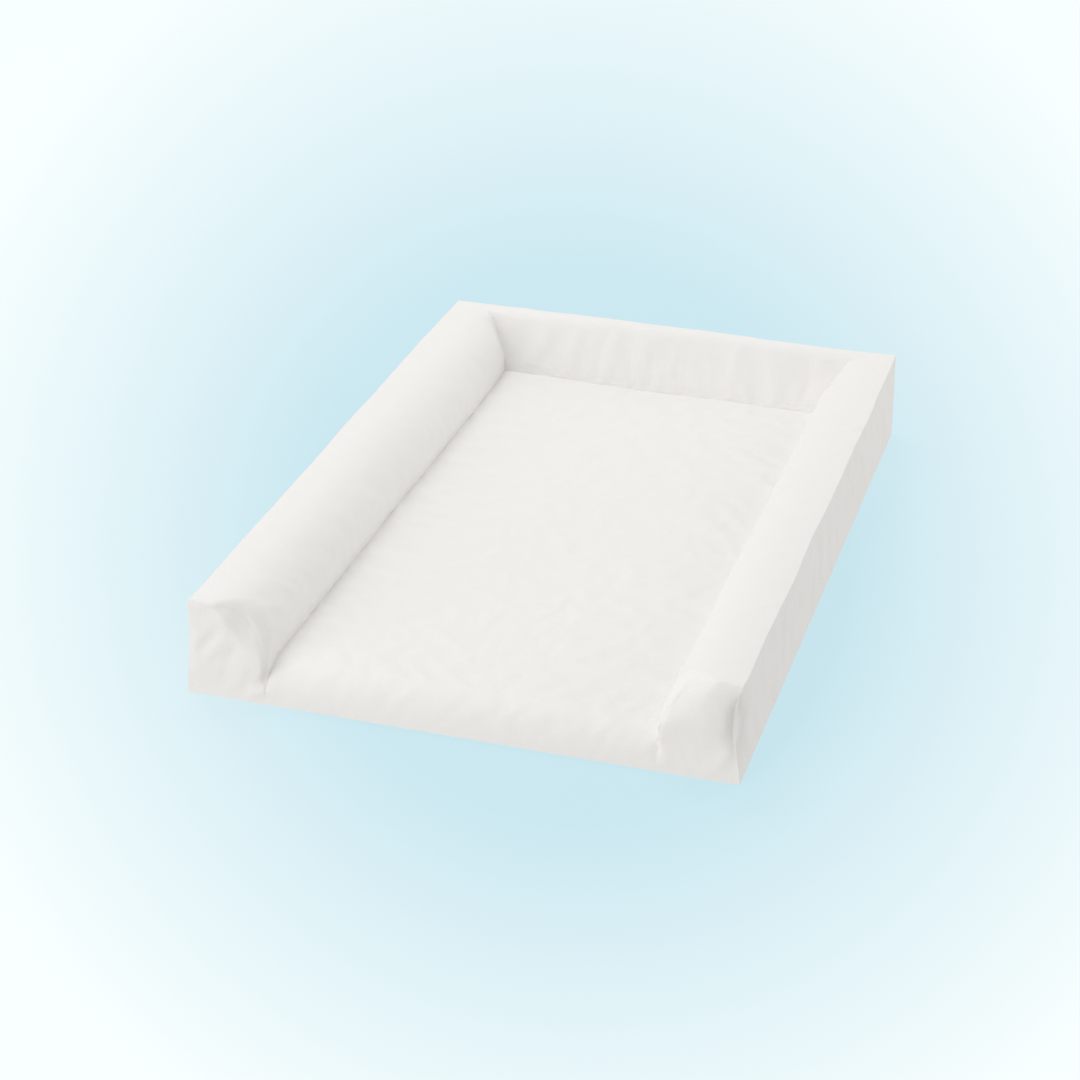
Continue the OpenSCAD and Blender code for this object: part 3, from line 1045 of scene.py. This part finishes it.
# %% Zip coils
COIL_PITCH = 1.5 * MM
COIL_WIRE = 0.33 * MM
COIL_SIDES = 5
COIL_STEPS = 8


def nylon_material():
    material, tree, shader = start_material("coil_nylon")
    place = add_node(tree, "ShaderNodeTexCoord").outputs["Object"]
    streaks = add_node(tree, "ShaderNodeTexNoise", None, Vector=place, Scale=500.0).outputs["Fac"]
    tree.links.new(blend_colours(tree, streaks, (0.84, 0.84, 0.83), (0.90, 0.90, 0.89)),
                   shader.inputs["Base Color"])
    bump = add_node(tree, "ShaderNodeBump", None, Height=streaks, Strength=0.1, Distance=0.05 * MM)
    tree.links.new(bump.outputs["Normal"], shader.inputs["Normal"])
    shader.inputs["Roughness"].default_value = 0.35
    return material


def make_coil(name, low, high):
    turns = int((high.x - low.x) / COIL_PITCH)
    middle = (low + high) / 2
    tall = (high.z - low.z) / 2 - COIL_WIRE
    deep = (high.y - low.y) / 2 - COIL_WIRE
    bm = bmesh.new()
    ring = bmesh.ops.create_circle(bm, segments=COIL_SIDES, radius=COIL_WIRE, cap_ends=True)["verts"]
    bmesh.ops.translate(bm, vec=(0, 0, 0), verts=ring)
    turn_up = Matrix.Rotation(math.pi / 2, 4, "X")
    bmesh.ops.transform(bm, matrix=turn_up, verts=ring)
    bmesh.ops.rotate(bm, cent=(0, 0, 0), matrix=Matrix.Rotation(0, 3, "X"), verts=ring)
    bmesh.ops.translate(bm, vec=(low.x + COIL_WIRE, 0, tall), verts=ring)
    step_x = (turns * COIL_PITCH - 2 * COIL_WIRE) / (turns * COIL_STEPS)
    bmesh.ops.spin(bm, geom=bm.verts[:] + bm.edges[:] + bm.faces[:], cent=(low.x, 0, 0), axis=(1, 0, 0),
                   dvec=(step_x, 0, 0), angle=2 * math.pi * turns, steps=turns * COIL_STEPS)
    bmesh.ops.scale(bm, vec=(1, deep / tall, 1), verts=bm.verts)
    bmesh.ops.translate(bm, vec=(0, middle.y, middle.z), verts=bm.verts)
    bmesh.ops.recalc_face_normals(bm, faces=bm.faces)
    return mesh_object(name, bm), turns


coil_nylon = nylon_material()
for part in ("upper", "lower"):
    low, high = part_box(f"zip_{part}_teeth")
    coil, turns = make_coil(f"zip_{part}_coil", low, high)
    coil.data.shade_smooth()
    finish_piece(coil, coil_nylon)
    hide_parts(f"zip_{part}_teeth")
    print(coil.name, turns, "turns,", len(coil.data.polygons), "faces")

# %% [markdown]
# ## Slider, pull and stops
# These are small castings and stampings. Their CAD shapes are right, but every edge is sharp. A copy of
# each gets a fine bevel, which is what makes small metal parts catch the light.

# %% Zip metal
METAL_EDGE = 0.22 * MM
white_enamel = metal_material("white_enamel", (0.86, 0.86, 0.85), 0.34, metallic=0.0)
for node_name, body in (("zip_slider", "zip_slider"), ("zip_pull", "zip_pull"), ("zip_stops", "pad")):
    low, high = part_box(node_name)
    casting = copy_node(node_name, node_name, low, high)
    bevel_sharp(casting, METAL_EDGE, 2, 40)
    piece = mesh_object(node_name + "_metal", casting)
    piece.data.shade_smooth()
    piece.data.set_sharp_from_angle(angle=math.radians(40))
    finish_piece(piece, white_enamel, body)
    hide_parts(node_name)
    print(piece.name, len(piece.data.polygons), "faces")

# %% [markdown]
# ## Topstitching and the care label
# A row of lockstitch holds each edge of the zip window to its tape. One stitch is a low sphere pulled long
# and pressed half into the cloth. The label is a blank folded satin tape, caught in the corner seam, and
# its free end stands a little off the cloth.

# %% Stitches
STITCH_L = 2.4 * MM
STITCH_STEP = 3.1 * MM
STITCH_R = 0.32 * MM
STITCH_OFF = 2.2 * MM


def stitch_row(bm, z, y):
    count = int(2 * WINDOW_X / STITCH_STEP)
    for index in range(count):
        x = (index - (count - 1) / 2) * STITCH_STEP
        made = bmesh.ops.create_uvsphere(bm, u_segments=6, v_segments=4, radius=STITCH_R)["verts"]
        bmesh.ops.scale(bm, vec=(STITCH_L / 2 / STITCH_R, 1, 1), verts=made)
        bmesh.ops.translate(bm, vec=(x, y, z), verts=made)
    return count


def thread_material():
    material, tree, shader = start_material("white_thread")
    place = add_node(tree, "ShaderNodeTexCoord").outputs["Object"]
    twist = add_node(tree, "ShaderNodeTexWave", {"bands_direction": "DIAGONAL"},
                     Vector=place, Scale=260.0).outputs["Fac"]
    bump = add_node(tree, "ShaderNodeBump", None, Height=twist, Strength=0.5, Distance=0.1 * MM)
    tree.links.new(bump.outputs["Normal"], shader.inputs["Normal"])
    tree.links.new(blend_colours(tree, twist, (0.80, 0.79, 0.77), (0.90, 0.89, 0.87)),
                   shader.inputs["Base Color"])
    shader.inputs["Roughness"].default_value = 0.6
    shader.inputs["Sheen Weight"].default_value = 0.3
    return material


white_thread = thread_material()
for word, side in (("upper", 1), ("lower", -1)):
    row = bmesh.new()
    made = stitch_row(row, ZIP_Z + side * (WINDOW_HALF + STITCH_OFF), HALF_L)
    stitches = mesh_object(f"zip_{word}_stitches", row)
    stitches.data.shade_smooth()
    finish_piece(stitches, white_thread)
    print(stitches.name, made, "stitches")

# %% Care label
LABEL_CURL = 2.6 * MM
LABEL_T = 0.35 * MM
label_low, label_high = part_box("care_label")


def make_label():
    columns, rows = 17, 11

    def place(column, row):
        share = column / (columns - 1)
        curl = LABEL_CURL * share ** 2 * (0.7 + 0.3 * math.cos(math.pi * (row / (rows - 1) - 0.3)))
        return Vector((
            label_low.x + share * (label_high.x - label_low.x),
            label_high.y + LABEL_T + curl,
            label_low.z + row / (rows - 1) * (label_high.z - label_low.z),
        ))

    size = (label_high.x - label_low.x, label_high.z - label_low.z)
    return cut_panel("label_satin_tape", columns, rows, place, size), size


label, label_size = make_label()
label_satin = woven_material("label_satin", (0.90, 0.90, 0.89), (0.84, 0.84, 0.83), 0.25 * MM, 0.5, 0.38)
label.data.shade_smooth()
give_thickness(label, LABEL_T)
finish_piece(label, label_satin)
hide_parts("care_label")
print("label", [round(v / MM) for v in label_size], "mm, blank")

# %% [markdown]
# ## The floor and the light
# The pad stands on a floor that is itself a dull dark grey. Its pale blue is painted light: the floor
# glows by itself, darker round the pad and brighter away from it, so the shadow round the pad stays faint,
# as on a light table. The lamps give broad soft light from the back left.

# %% Floor
FLOOR_SIZE = 16.0
# Colours of the floor's painted glow, near the pad and far from it. The floor's own colour is FLOOR_DULL.
FLOOR_GLOW_NEAR = (0.505, 0.712, 0.782)
FLOOR_GLOW_FAR = (0.848, 0.905, 0.908)
FLOOR_NEAR_R = 0.26
FLOOR_FAR_R = 0.65
FLOOR_DULL = 0.10


def round_glow(tree):
    """Distance from the floor's middle, drawn so that its rings look round from the camera."""
    place = add_node(tree, "ShaderNodeTexCoord").outputs["Object"]
    turned = add_node(tree, "ShaderNodeMapping", {"vector_type": "TEXTURE"},
                      Vector=place, Rotation=(0, 0, CAMERA_TURN)).outputs["Vector"]
    parts = add_node(tree, "ShaderNodeSeparateXYZ", None, Vector=turned)
    per_metre = math.cos(CAMERA_RISE) / CAMERA_DISTANCE
    shrink = math_node(tree, "ADD", math_node(tree, "MULTIPLY", parts.outputs["Y"], per_metre), 1.0)
    across = math_node(tree, "DIVIDE", parts.outputs["X"], shrink)
    away = math_node(tree, "MULTIPLY", parts.outputs["Y"], math.sin(CAMERA_RISE))
    away = math_node(tree, "DIVIDE", away, shrink)
    return math_node(tree, "SQRT", math_node(
        tree, "ADD", math_node(tree, "POWER", across, 2.0), math_node(tree, "POWER", away, 2.0)), 0.0)


def make_floor():
    bm = bmesh.new()
    bmesh.ops.create_grid(bm, x_segments=8, y_segments=8, size=FLOOR_SIZE / 2)
    floor = mesh_object("floor", bm)
    material, tree, shader = start_material("glowing_floor")
    ring = add_node(tree, "ShaderNodeMapRange")
    tree.links.new(round_glow(tree), ring.inputs["Value"])
    ring.inputs["From Min"].default_value = FLOOR_NEAR_R
    ring.inputs["From Max"].default_value = FLOOR_FAR_R
    # Painted light: the floor's colour is emitted, not lit by the lamps.
    colour = blend_colours(tree, ring.outputs["Result"], FLOOR_GLOW_NEAR, FLOOR_GLOW_FAR)
    tree.links.new(colour, shader.inputs["Emission Color"])
    shader.inputs["Base Color"].default_value = (FLOOR_DULL, FLOOR_DULL, FLOOR_DULL, 1)
    shader.inputs["Emission Strength"].default_value = 1.0
    shader.inputs["Roughness"].default_value = 1.0
    shader.inputs["Specular IOR Level"].default_value = 0.0
    floor.data.materials.append(material)
    return floor


floor = make_floor()
# The floor's painted glow lights nothing on the pad, because the pad's diffuse rays don't see the floor.
floor.visible_diffuse = False


# %% Lights
def soft_light(name, place, aim, size, power, colour):
    data = bpy.data.lights.new(name, "AREA")
    data.shape = "DISK"
    data.size = size
    data.energy = power
    data.color = colour
    lamp = bpy.data.objects.new(name, data)
    bpy.context.scene.collection.objects.link(lamp)
    lamp.location = place
    lamp.rotation_euler = (Vector(aim) - Vector(place)).to_track_quat("-Z", "Y").to_euler()
    return lamp


key_light = soft_light("key_light", (-1.1, 1.0, 2.6), (0, 0, 0), 1.6, 21, (1.0, 0.995, 0.985))
side_light = soft_light("side_light", (2.1, 1.7, 1.0), (0, 0, 0), 2.0, 15, (1.0, 0.98, 0.95))
fill_light = soft_light("fill_light", (-1.5, -2.5, 1.1), (0, 0, 0), 2.2, 28, (1.0, 0.985, 0.965))
world = bpy.data.worlds.new("soft_room")
world.use_nodes = True
world.node_tree.nodes["Background"].inputs["Color"].default_value = (1.0, 0.99, 0.975, 1)
world.node_tree.nodes["Background"].inputs["Strength"].default_value = 0.66
bpy.context.scene.world = world
bpy.context.scene.view_settings.view_transform = "Standard"
print("lights:", key_light.name, side_light.name, fill_light.name)
